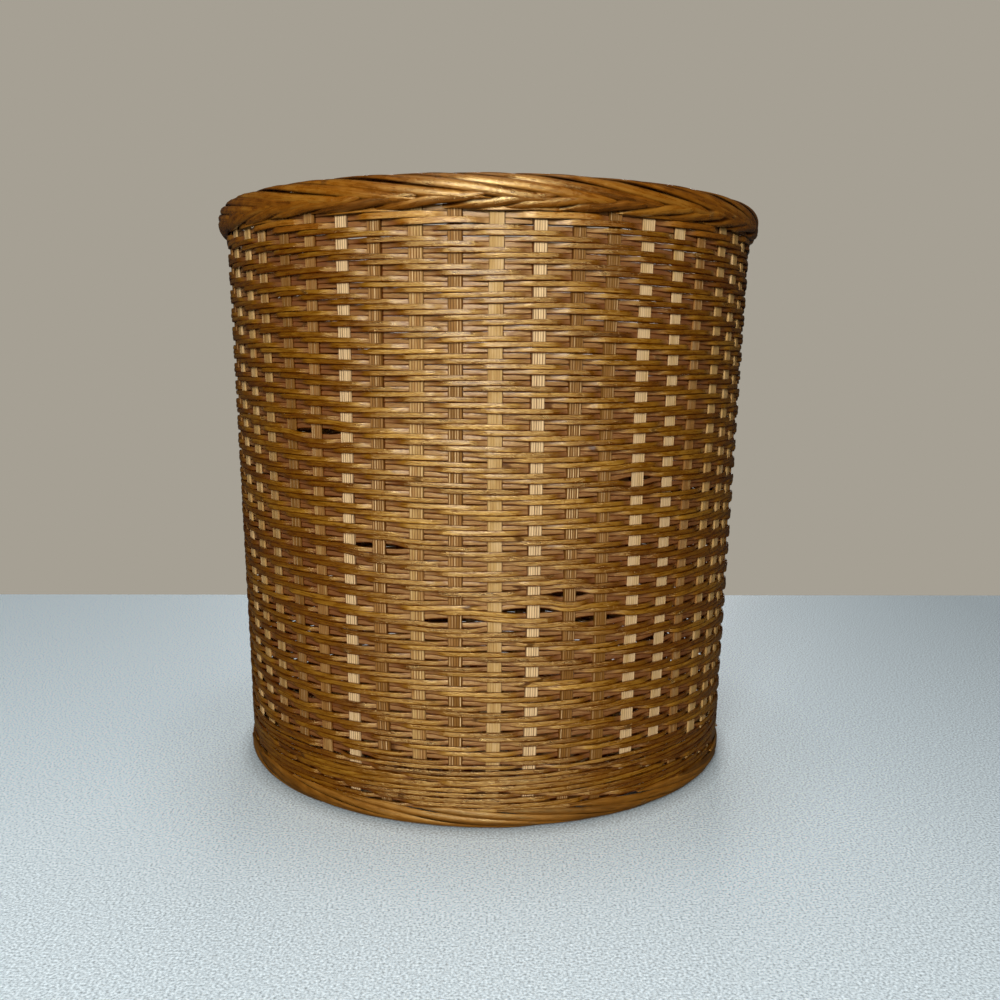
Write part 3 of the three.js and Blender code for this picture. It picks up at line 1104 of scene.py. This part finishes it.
class Sketch:
    """A node tree put together step by step. A step adds a node and returns what it gives."""

    USUAL = (0.3, 0.7)  # the range that most of a noise's values lie in

    def __init__(self, owner: Material | bpy.types.World) -> None:
        """Start from a new material or world, with the nodes that it comes with.

        Args:
            owner: The material or world.
        """
        owner.use_nodes = True
        self.owner = owner
        self.nodes = owner.node_tree.nodes

    @property
    def shader(self) -> bpy.types.Node:
        """Give the node that makes up the surface."""
        return self.nodes["Principled BSDF"]

    def feed(self, node: bpy.types.Node, values: dict[str | int, Value]) -> None:
        """Link a node's inputs to other nodes, or set their values.

        Args:
            node: The node.
            values: What each input takes, by the input's name or number.
        """
        for key, value in values.items():
            if isinstance(value, Socket):
                self.owner.node_tree.links.new(value, node.inputs[key])
            else:
                node.inputs[key].default_value = value

    def node(self, kind: str, values: dict[str | int, Value], **settings: str) -> bpy.types.Node:
        """Add a node.

        Args:
            kind: Its type.
            values: What its inputs take.
            settings: Its other properties.

        Returns:
            The node.
        """
        node = self.nodes.new("ShaderNode" + kind)
        for name, value in settings.items():
            setattr(node, name, value)
        self.feed(node, values)
        return node

    def mark(self, name: str, output: str = "Fac") -> Socket:
        """Read one of the mesh's own attributes."""
        return self.node("Attribute", {}, attribute_name=name).outputs[output]

    def stretched(self, vector: Value, scale: Value) -> Socket:
        """Scale a vector by an amount along each axis."""
        scaled = self.node("VectorMath", {0: vector, 1: scale}, operation="MULTIPLY")
        return scaled.outputs["Vector"]

    def noise(self, place: Socket, cells: Triple, detail: float) -> Socket:
        """Read soft noise from about 0.25 to 0.75, given by its cells in a unit along each axis."""
        values = {"Vector": self.stretched(place, cells), "Scale": 1.0, "Detail": detail}
        return self.node("TexNoise", values).outputs["Fac"]

    def math(self, operation: str, first: Value, second: Value = 0.0) -> Socket:
        """Combine two values."""
        return self.node("Math", {0: first, 1: second}, operation=operation).outputs[0]

    def plus(self, first: Value, second: Value) -> Socket:
        """Add two values."""
        return self.math("ADD", first, second)

    def times(self, first: Value, second: Value) -> Socket:
        """Multiply two values."""
        return self.math("MULTIPLY", first, second)

    def from_half(self, value: Socket) -> Socket:
        """Give the distance from a half to the part of a value after its point."""
        return self.math("ABSOLUTE", self.math("SUBTRACT", self.math("FRACT", value), 0.5))

    def spread(self, value: Value, low: float, high: float, to: Pair = (0, 1)) -> Socket:
        """Map a value from one range to another, held at its ends."""
        values = {"Value": value, "From Min": low, "From Max": high, "To Min": to[0], "To Max": to[1]}
        return self.node("MapRange", values).outputs["Result"]

    def over(self, distance: Socket, band: Pair, to: Pair) -> Socket:
        """Map a distance in metres over a band in millimetres."""
        return self.spread(distance, band[0] * MM, band[1] * MM, to)

    def varied(self, value: Value, noise: Socket, size: float) -> Socket:
        """Raise or lower a value by up to a size, as a noise goes."""
        return self.plus(value, self.spread(noise, *self.USUAL, (-size, size)))

    def ramp(self, factor: Socket, stops: list[tuple[float, Colour]]) -> Socket:
        """Go through colours by a factor.

        Args:
            factor: The factor.
            stops: Values of the factor, each with its colour.

        Returns:
            The colour.
        """
        node = self.node("ValToRGB", {"Fac": factor})
        while len(node.color_ramp.elements) < len(stops):
            node.color_ramp.elements.new(0.5)
        for element, (place, colour) in zip(node.color_ramp.elements, stops):
            element.position = place
            element.color = (*colour, 1)
        return node.outputs["Color"]

    def blend(self, factor: Value, first: Value, second: Value) -> Socket:
        """Mix two colours by a factor, from 0 for the first to 1 for the second."""
        one, two = (mix if isinstance(mix, Socket) else (*mix, 1) for mix in (first, second))
        return self.node("Mix", {0: factor, 6: one, 7: two}, data_type="RGBA").outputs[2]

    def bumped(self, height: Socket, distance: float, strength: float) -> None:
        """Give the surface a relief, as high as the height times the distance in metres."""
        values = {"Height": height, "Distance": distance, "Strength": strength}
        self.feed(self.shader, {"Normal": self.node("Bump", values).outputs["Normal"]})


@dataclass(frozen=True)
class CaneFinish:
    """Glossy split cane: golden peel in several tones, with fibres, stains and knots.

    Where a strand lies behind the stakes it is duller and rosier, because only the floats are
    rubbed and varnished. Shade is painted on as dark lines beside the stakes, where a strand goes
    behind them, and along a strand's edges, heavier under its lower edge. The stake shade reach
    gives where that painted shade is full and where it ends, in stakes from a stake's middle, and
    the edge shade band gives where it starts and where it is full across the strand. The noises
    are given by their cells in a millimetre along the strand, in its width, and from strand to
    strand.
    """

    name: str = "split_cane"
    dark: Colour = srgb(66, 26, 0)
    brown: Colour = srgb(97, 50, 0)
    golden: Colour = srgb(122, 75, 0)
    straw: Colour = srgb(154, 107, 26)
    recessed: Colour = srgb(120, 72, 44)
    sheen: Colour = srgb(255, 222, 146)
    knot: Colour = srgb(96, 60, 28)
    # painted shade: its colour, and where it lies along a strand's edges
    edge: Colour = srgb(80, 33, 0)
    edge_shade_band: Pair = (0.25, 0.37)
    top_edge_shade: float = 0.55
    gloss: Pair = (0.22, 0.36)
    lustre: float = 1.85
    coat: float = 0.3
    fibres: Triple = (0.12, 5.0, 3.7)
    stains: Triple = (0.022, 0.7, 5.3)
    pores: Triple = (0.3, 26.0, 7.9)
    mottles: Triple = (0.2, 2.0, 3.1)
    # where the painted shade beside a stake is full and where it ends
    stake_shade_reach: Pair = (0.18, 0.205)
    knot_every: float = 610.0
    knot_reach: Pair = (2.4, 0.4)

    def knots(self, sketch: Sketch, place: Outputs, stain: Socket, pore: Socket) -> Socket:
        """Mark the rings that cane has at even distances along it.

        The strand's own number shifts its rings along it, and the stain bends them.

        Args:
            sketch: The material.
            place: The place on the strand, by axis.
            stain: The noise of the stain.
            pore: The noise of the pores.

        Returns:
            From 0 to 1 on a ring.
        """
        shift = sketch.plus(sketch.spread(stain, 0.2, 0.8, (0, 0.02)), 0.37)
        rings = sketch.times(place["X"], 1 / self.knot_every)
        rings = sketch.plus(rings, sketch.times(place["Z"], 0.618))
        near = sketch.times(sketch.from_half(sketch.plus(rings, shift)), self.knot_every)
        return sketch.times(sketch.spread(near, *self.knot_reach), sketch.spread(pore, 0.35, 0.6))

    def crevice_shade(self, sketch: Sketch) -> Socket:
        """Mark the part of a strand behind a stake, where shade is painted as a dark line beside it.

        Args:
            sketch: The material.

        Returns:
            From 0 to 1 on that part.
        """
        aside = sketch.from_half(sketch.plus(sketch.mark("crossing"), 0.5))
        full, end = self.stake_shade_reach
        behind = sketch.spread(sketch.mark("lift"), 0, -0.6)
        return sketch.times(sketch.spread(aside, end, full), behind)

    def edges(self, sketch: Sketch, across: Socket) -> Socket:
        """Mark the lower edge of a strand, and more narrowly its upper one.

        Args:
            sketch: The material.
            across: The place in the strand's width.

        Returns:
            From 0 to 1 at an edge.
        """
        near, far = self.edge_shade_band
        under = sketch.spread(across, -near, -far, (0, 0.95))
        above = sketch.spread(across, near + 0.12, far + 0.08, (0, self.top_edge_shade))
        return sketch.math("MAXIMUM", under, above)

    def make(self) -> Material:
        """Build the material.

        Returns:
            The finished material.
        """
        sketch = Sketch(bpy.data.materials.new(self.name))
        vector = sketch.mark("place", "Vector")
        place = sketch.node("SeparateXYZ", {"Vector": vector}).outputs
        fibre = sketch.noise(vector, self.fibres, 4)
        stain = sketch.noise(vector, self.stains, 3)
        pore = sketch.noise(vector, self.pores, 2)
        mottle = sketch.noise(vector, self.mottles, 1)
        tone = sketch.mark("tone")
        for noise, size in ((stain, 0.26), (fibre, 0.22), (mottle, 0.12)):
            tone = sketch.varied(tone, noise, size)
        stops = [(0, self.dark), (0.3, self.brown), (0.66, self.golden), (1, self.straw)]
        colour = sketch.ramp(tone, stops)
        hidden = sketch.spread(sketch.mark("lift"), 0.55, -0.7)
        knot = self.knots(sketch, place, stain, pore)
        # painted shade: dark lines beside the stakes and along the strand's edges
        crevice_shade = self.crevice_shade(sketch)
        edge = self.edges(sketch, place["Y"])
        # the last two blends paint that shade on
        for share, over in (
            (sketch.times(hidden, 0.75), self.recessed),
            (sketch.spread(pore, 0.56, 0.72, (0, 0.4)), self.dark),
            (sketch.times(knot, 0.75), self.knot),
            (sketch.times(crevice_shade, 0.85), self.edge),
            (edge, self.edge),
        ):
            colour = sketch.blend(share, colour, over)
        # the gloss is taken off where the shade is painted, and a little behind the stakes
        dull = sketch.math("MAXIMUM", edge, crevice_shade)
        dull = sketch.math("MAXIMUM", dull, sketch.times(hidden, 0.12))
        rough = sketch.spread(fibre, *Sketch.USUAL, self.gloss)
        rough = sketch.plus(rough, sketch.times(hidden, 0.1))
        rough = sketch.plus(rough, sketch.spread(mottle, 0.35, 0.65, (-0.04, 0.08)))
        surface = {
            "Base Color": colour,
            "Roughness": rough,
            "IOR": self.lustre,
            "Specular IOR Level": sketch.spread(dull, 0, 1, (1, 0)),
            "Specular Tint": (*self.sheen, 1),
            "Coat Weight": sketch.spread(dull, 0, 1, (self.coat, 0)),
            "Coat Roughness": 0.24,
        }
        sketch.feed(sketch.shader, surface)
        height = sketch.plus(fibre, sketch.times(pore, 0.6))
        sketch.bumped(sketch.plus(height, knot), 0.00025, 0.8)
        return sketch.owner


@dataclass(frozen=True)
class StakeFinish:
    """Matt fibrous strips with darker lines between their ribs and light on the ribs.

    The noises are given as those of the cane are.
    """

    name: str = "stake_strip"
    brown: Colour = srgb(112, 74, 26)
    rosy: Colour = srgb(140, 98, 50)
    tan: Colour = srgb(171, 137, 82)
    pale: Colour = srgb(204, 174, 130)
    line: Colour = srgb(84, 48, 10)
    rib_light: Colour = srgb(232, 204, 156)
    sheen: Colour = srgb(255, 224, 170)
    fibres: Triple = (0.05, 15.0, 3.7)
    blotches: Triple = (0.045, 1.1, 7.3)
    bundles: Triple = (0.012, 5.5, 5.1)
    ribs: int = 5

    def make(self) -> Material:
        """Build the material.

        A line lies where the cosine of the place across the strip, counted in ribs, is high.

        Returns:
            The finished material.
        """
        sketch = Sketch(bpy.data.materials.new(self.name))
        place = sketch.mark("place", "Vector")
        fibre = sketch.noise(place, self.fibres, 4)
        blotch = sketch.noise(place, self.blotches, 3)
        bundle = sketch.noise(place, self.bundles, 2)
        tone = sketch.varied(sketch.mark("tone"), blotch, 0.16)
        tone = sketch.varied(tone, fibre, 0.13)
        stops = [(0.1, self.brown), (0.4, self.rosy), (0.62, self.tan), (0.95, self.pale)]
        colour = sketch.ramp(tone, stops)
        across = sketch.node("SeparateXYZ", {"Vector": place}).outputs["Y"]
        ribs = sketch.times(across, TURN * self.ribs / RIBBED_SHARE)
        ribs = sketch.varied(ribs, blotch, 0.9)
        wave = sketch.math("COSINE", sketch.plus(ribs, TURN * self.ribs / 2))
        lines = sketch.mark("lines")
        light = sketch.times(sketch.spread(wave, -0.3, -0.95), lines)
        light = sketch.times(light, sketch.spread(bundle, 0.46, 0.6, (0, 0.8)))
        colour = sketch.blend(light, colour, self.rib_light)
        line = sketch.times(sketch.spread(wave, 0.1, 0.85), lines)
        line = sketch.times(line, sketch.spread(bundle, 0.6, 0.42, (0.35, 1)))
        surface = {
            "Base Color": sketch.blend(line, colour, self.line),
            "Roughness": sketch.spread(fibre, *Sketch.USUAL, (0.46, 0.66)),
            "Specular Tint": (*self.sheen, 1),
        }
        sketch.feed(sketch.shader, surface)
        sketch.bumped(fibre, 0.00025, 0.8)
        return sketch.owner


@dataclass(frozen=True)
class HoopFinish:
    """Plain peeled cane of the hoops inside the rim, with long grain and darker pores."""

    name: str = "peeled_cane"
    light: Colour = srgb(188, 146, 88)
    dark: Colour = srgb(112, 70, 28)
    grain_cells: Triple = (40, 40, 1400)
    pore_cells: Triple = (260, 260, 2600)

    def make(self) -> Material:
        """Build the material from the object's own coordinates.

        Returns:
            The finished material.
        """
        sketch = Sketch(bpy.data.materials.new(self.name))
        place = sketch.node("TexCoord", {}).outputs["Object"]
        grain = sketch.noise(place, self.grain_cells, 4)
        pores = sketch.noise(place, self.pore_cells, 2)
        shade = sketch.plus(grain, sketch.spread(pores, 0.55, 0.7, (0, 0.3)))
        surface = {
            "Base Color": sketch.ramp(shade, [(0.35, self.light), (0.75, self.dark)]),
            "Roughness": sketch.spread(grain, *Sketch.USUAL, (0.45, 0.6)),
        }
        sketch.feed(sketch.shader, surface)
        sketch.bumped(grain, 0.0002, 0.6)
        return sketch.owner


@dataclass(frozen=True)
class Tabletop:
    """The pale tabletop, which ends where the wall begins.

    It throws back less light onto the basket than the camera sees on it, and away from the
    basket it glows faintly, for the camera only. It is finely speckled, with a painted shadow
    beside the foot and painted shade that darkens it to the right. Each pair of distances says
    where a change starts and where it ends.
    """

    back: float = 332.0
    reach: float = 3000.0
    colour: Colour = srgb(234, 249, 255)
    bounce: Colour = srgb(94, 88, 74)
    glow: Colour = srgb(208, 228, 244)
    glow_strength: float = 0.11
    glow_from: Pair = (125.0, 190.0)
    speck: Pair = (0.42, 1.5)
    speck_cells: Triple = (1000.0, 1000.0, 1000.0)
    # painted shadow beside the foot
    foot_shade: float = 0.6
    foot_shade_from: Pair = (121.0, 132.0)
    # painted shade, darker to the right
    falloff_shade: float = 0.74
    falloff_shade_from: Pair = (60.0, 420.0)
    roughness: float = 0.55

    def make(self) -> Material:
        """Build the material.

        Returns:
            The finished material.
        """
        sketch = Sketch(bpy.data.materials.new("pale_tabletop"))
        place = sketch.node("TexCoord", {}).outputs["Object"]
        away = sketch.node("VectorMath", {0: place}, operation="LENGTH").outputs["Value"]
        sideways = sketch.node("SeparateXYZ", {"Vector": place}).outputs["X"]
        shade = sketch.spread(sketch.noise(place, self.speck_cells, 3), 0.25, 0.75, self.speck)
        # painted shadow round the foot, and painted shade darker to the right
        shade = sketch.times(shade, sketch.over(away, self.foot_shade_from, (self.foot_shade, 1)))
        shade = sketch.times(shade, sketch.over(sideways, self.falloff_shade_from, (1, self.falloff_shade)))
        outside = sketch.over(away, self.glow_from, (0, self.glow_strength))
        seen = sketch.node("LightPath", {}).outputs["Is Camera Ray"]
        surface = {
            "Base Color": sketch.blend(seen, self.bounce, sketch.stretched(shade, self.colour)),
            "Emission Color": (*self.glow, 1),
            "Emission Strength": sketch.times(sketch.times(seen, shade), outside),
            "Roughness": self.roughness,
        }
        sketch.feed(sketch.shader, surface)
        return sketch.owner

    def build(self) -> None:
        """Lay the tabletop."""
        reach, back = self.reach * MM, self.back * MM
        corners = [(-reach, -reach, 0), (reach, -reach, 0), (reach, back, 0), (-reach, back, 0)]
        mesh = bpy.data.meshes.new("floor")
        mesh.from_pydata(corners, [], [(0, 1, 2, 3)])
        mesh.materials.append(self.make())
        linked("floor", mesh)


@dataclass(frozen=True)
class Lamp:
    """A soft square lamp that faces the basket's middle. Its place and side are in metres."""

    name: str
    place: Triple
    side: float
    watts: float
    colour: Colour
    aim: Triple = (0.0, 0.0, 0.13)

    def build(self) -> None:
        """Hang the lamp."""
        data = bpy.data.lights.new(self.name, "AREA")
        data.size = self.side
        data.energy = self.watts
        data.color = self.colour
        lamp = linked(self.name, data)
        lamp.location = self.place
        heading = Vector(self.aim) - Vector(self.place)
        lamp.rotation_euler = heading.to_track_quat("-Z", "Y").to_euler()


@dataclass(frozen=True)
class Studio:
    """The camera at the photograph's angle, a pale tabletop, a soft wall tone and soft lamps.

    The camera stands at a distance from the basket's axis and a height above the floor, turned
    a little to the left of the front. From there the yaw turns it to the right, the pitch down
    and the roll over.
    """

    lens: float = 36.9
    sensor: float = 36.0
    distance: float = 542.7
    height: float = 199.6
    turn: float = np.radians(1.3)
    yaw: float = 0.0125
    pitch: float = 0.1319
    roll: float = 0.0090
    wall_colour: Colour = srgb(166, 160, 148)
    daylight: float = 0.026
    daylight_colour: Colour = (1.0, 0.985, 0.96)
    lamps: tuple[Lamp, ...] = (
        Lamp("window", (-0.15, -1.27, 0.53), 0.66, 20.0, (1.0, 0.985, 0.97)),
        Lamp("ceiling", (0.0, -0.1, 1.8), 1.0, 3.0, (1.0, 0.99, 0.97)),
        Lamp("doorway", (0.1, 1.5, 0.4), 0.8, 10.0, (1.0, 0.99, 0.97)),
    )

    def camera(self) -> None:
        """Stand the camera in front of the basket."""
        data = bpy.data.cameras.new("camera")
        data.lens = self.lens
        data.sensor_width = self.sensor
        camera = linked("camera", data)
        place = Vector(polar(np.array(self.distance), np.array(-self.turn), np.array(self.height)))
        heading = self.turn + self.yaw
        level = np.cos(self.pitch)
        ahead = (np.sin(heading) * level, np.cos(heading) * level, -np.sin(self.pitch))
        forward = Vector(ahead)
        right = Vector((np.cos(heading), -np.sin(heading), 0))
        upward = right.cross(forward)
        rolled_right = np.cos(self.roll) * right + np.sin(self.roll) * upward
        rolled_up = np.cos(self.roll) * upward - np.sin(self.roll) * right
        axes = Matrix((rolled_right, rolled_up, -forward)).transposed().to_4x4()
        camera.matrix_world = Matrix.Translation(place * MM) @ axes
        bpy.context.scene.camera = camera

    def room(self) -> None:
        """Light everything evenly, and show the wall's tone to the camera and through openings."""
        world = bpy.data.worlds.new("room")
        bpy.context.scene.world = world
        sketch = Sketch(world)
        light = sketch.nodes["Background"]
        sketch.feed(light, {"Color": (*self.daylight_colour, 1), "Strength": self.daylight})
        wall = sketch.node("Background", {"Color": (*self.wall_colour, 1)})
        path = sketch.node("LightPath", {}).outputs
        seen = sketch.math("MAXIMUM", path["Is Camera Ray"], path["Is Transmission Ray"])
        both = sketch.node("MixShader", {0: seen, 1: light.outputs[0], 2: wall.outputs[0]})
        sketch.feed(sketch.nodes["World Output"], {"Surface": both.outputs[0]})

    def build(self) -> None:
        """Set up the camera, the tabletop, the room and the lamps."""
        self.camera()
        Tabletop().build()
        self.room()
        for lamp in self.lamps:
            lamp.build()
        bpy.context.scene.view_settings.view_transform = "Standard"


def main() -> None:
    """Load the frame, build the basket from the stakes outwards, and set up the studio."""
    logging.basicConfig(level=logging.INFO, format="%(name)s: %(message)s")
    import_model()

    straight = Splints.level + Splints.bend - 0.2  # a stake is straight from just above this
    ring = StakeRing(WallLine.of_stake("odd_stake", straight))
    cane = CaneFinish().make()
    peel = CaneFinish(
        name="rim_peel",
        dark=srgb(72, 34, 0),
        brown=srgb(104, 55, 2),
        golden=srgb(136, 79, 8),
        straw=srgb(156, 102, 28),
        # edge colour and bands: painted shade along the strips' edges
        edge=srgb(40, 15, 0),
        edge_shade_band=(0.25, 0.4),
        top_edge_shade=0.9,
        gloss=(0.22, 0.34),
        fibres=(0.08, 6.0, 3.7),
    ).make()
    border = CaneFinish(
        name="foot_cane",
        dark=srgb(76, 42, 4),
        brown=srgb(101, 60, 10),
        golden=srgb(124, 76, 15),
        straw=srgb(144, 96, 32),
        # edge colour and bands: painted shade along the strips' edges
        edge=srgb(60, 28, 2),
        edge_shade_band=(0.37, 0.45),
        top_edge_shade=0.3,
        gloss=(0.36, 0.5),
        lustre=1.62,
        coat=0.1,
    ).make()
    Splints(ring).build(StakeFinish().make())

    lap = 0.15  # by which the wall and the bottom band run past their solids to each other
    weavers = tuple(f"weaver_{number}" for number in range(1, 7))
    wall_low, wall_high = corners(*weavers)
    WovenBand(
        ring=ring,
        names=tuple(f"wall_strand_{number}" for number in range(1, 7)),
        nodes=weavers,
        slot="cane",
        weave=Weave.TWILL,
        strand=Strand(),
        rows=103,
        bottom=wall_low[2] - lap,
        top=wall_high[2],
        phase=2,
        slits=FRONT_SLITS + OTHER_SLITS,
        tones=(0.4, 0.8),
        seed=31,
    ).build(cane)

    behind_foot = 4.4  # how far the bottom band runs on down behind the foot strips
    upset_low, upset_high = corners("upset_weaver")
    WovenBand(
        ring=ring,
        names=("upset_strands",),
        nodes=("upset_weaver",),
        slot="cane",
        weave=Weave.LONG_WALE,
        strand=Strand(2.4, width_spread=0.5, nestle=0.58, height_drift=(1.7, 0.26), pinch=0.2),
        rows=10,
        bottom=upset_low[2] - behind_foot,
        top=upset_high[2] + lap,
        splice=(12, 50),
        loose_start=0.9,
        ripple=0.2,
        tones=(0.3, 0.7),
        seed=41,
    ).build(cane)

    behind_rim = 3.4  # how far the top strands run on up behind the rim
    plait_high = corners("rim_plait")[1]
    WovenBand(
        ring=ring,
        names=("top_strands",),
        nodes=("rim_plait",),
        slot="peel",
        weave=Weave.TWILL,
        strand=Strand(width=3.0, bulge=1.25, nestle=0.15, turn_drift=(1.9, 0.2)),
        rows=3,
        bottom=wall_high[2],
        top=plait_high[2] + behind_rim,
        phase=1,
        splice=(10, 40),
        ripple=0.0,
        tones=(0.4, 0.8),
        seed=51,
    ).build(peel)

    past_fan = 2.0  # how far outside the place where the spokes come level the spiral starts
    base_high = corners("base_weaver")[1]
    BaseWeave(
        ring=ring,
        names=("base_strands",),
        nodes=("base_weaver",),
        slot="cane",
        weave=Weave.TWILL,
        strand=Strand(2.1, thickness=0.9, bulge=1.0, turn_drift=(2.1, 0.13), stations=6),
        rows=24,
        bottom=Splints.level_radius + past_fan,
        top=base_high[0],
        tones=(0.2, 0.9),
        seed=61,
    ).build(cane)

    Rim(ring).build(peel, HoopFinish().make())
    Foot().build(border)
    Studio().build()


if __name__ == "__main__":
    main()
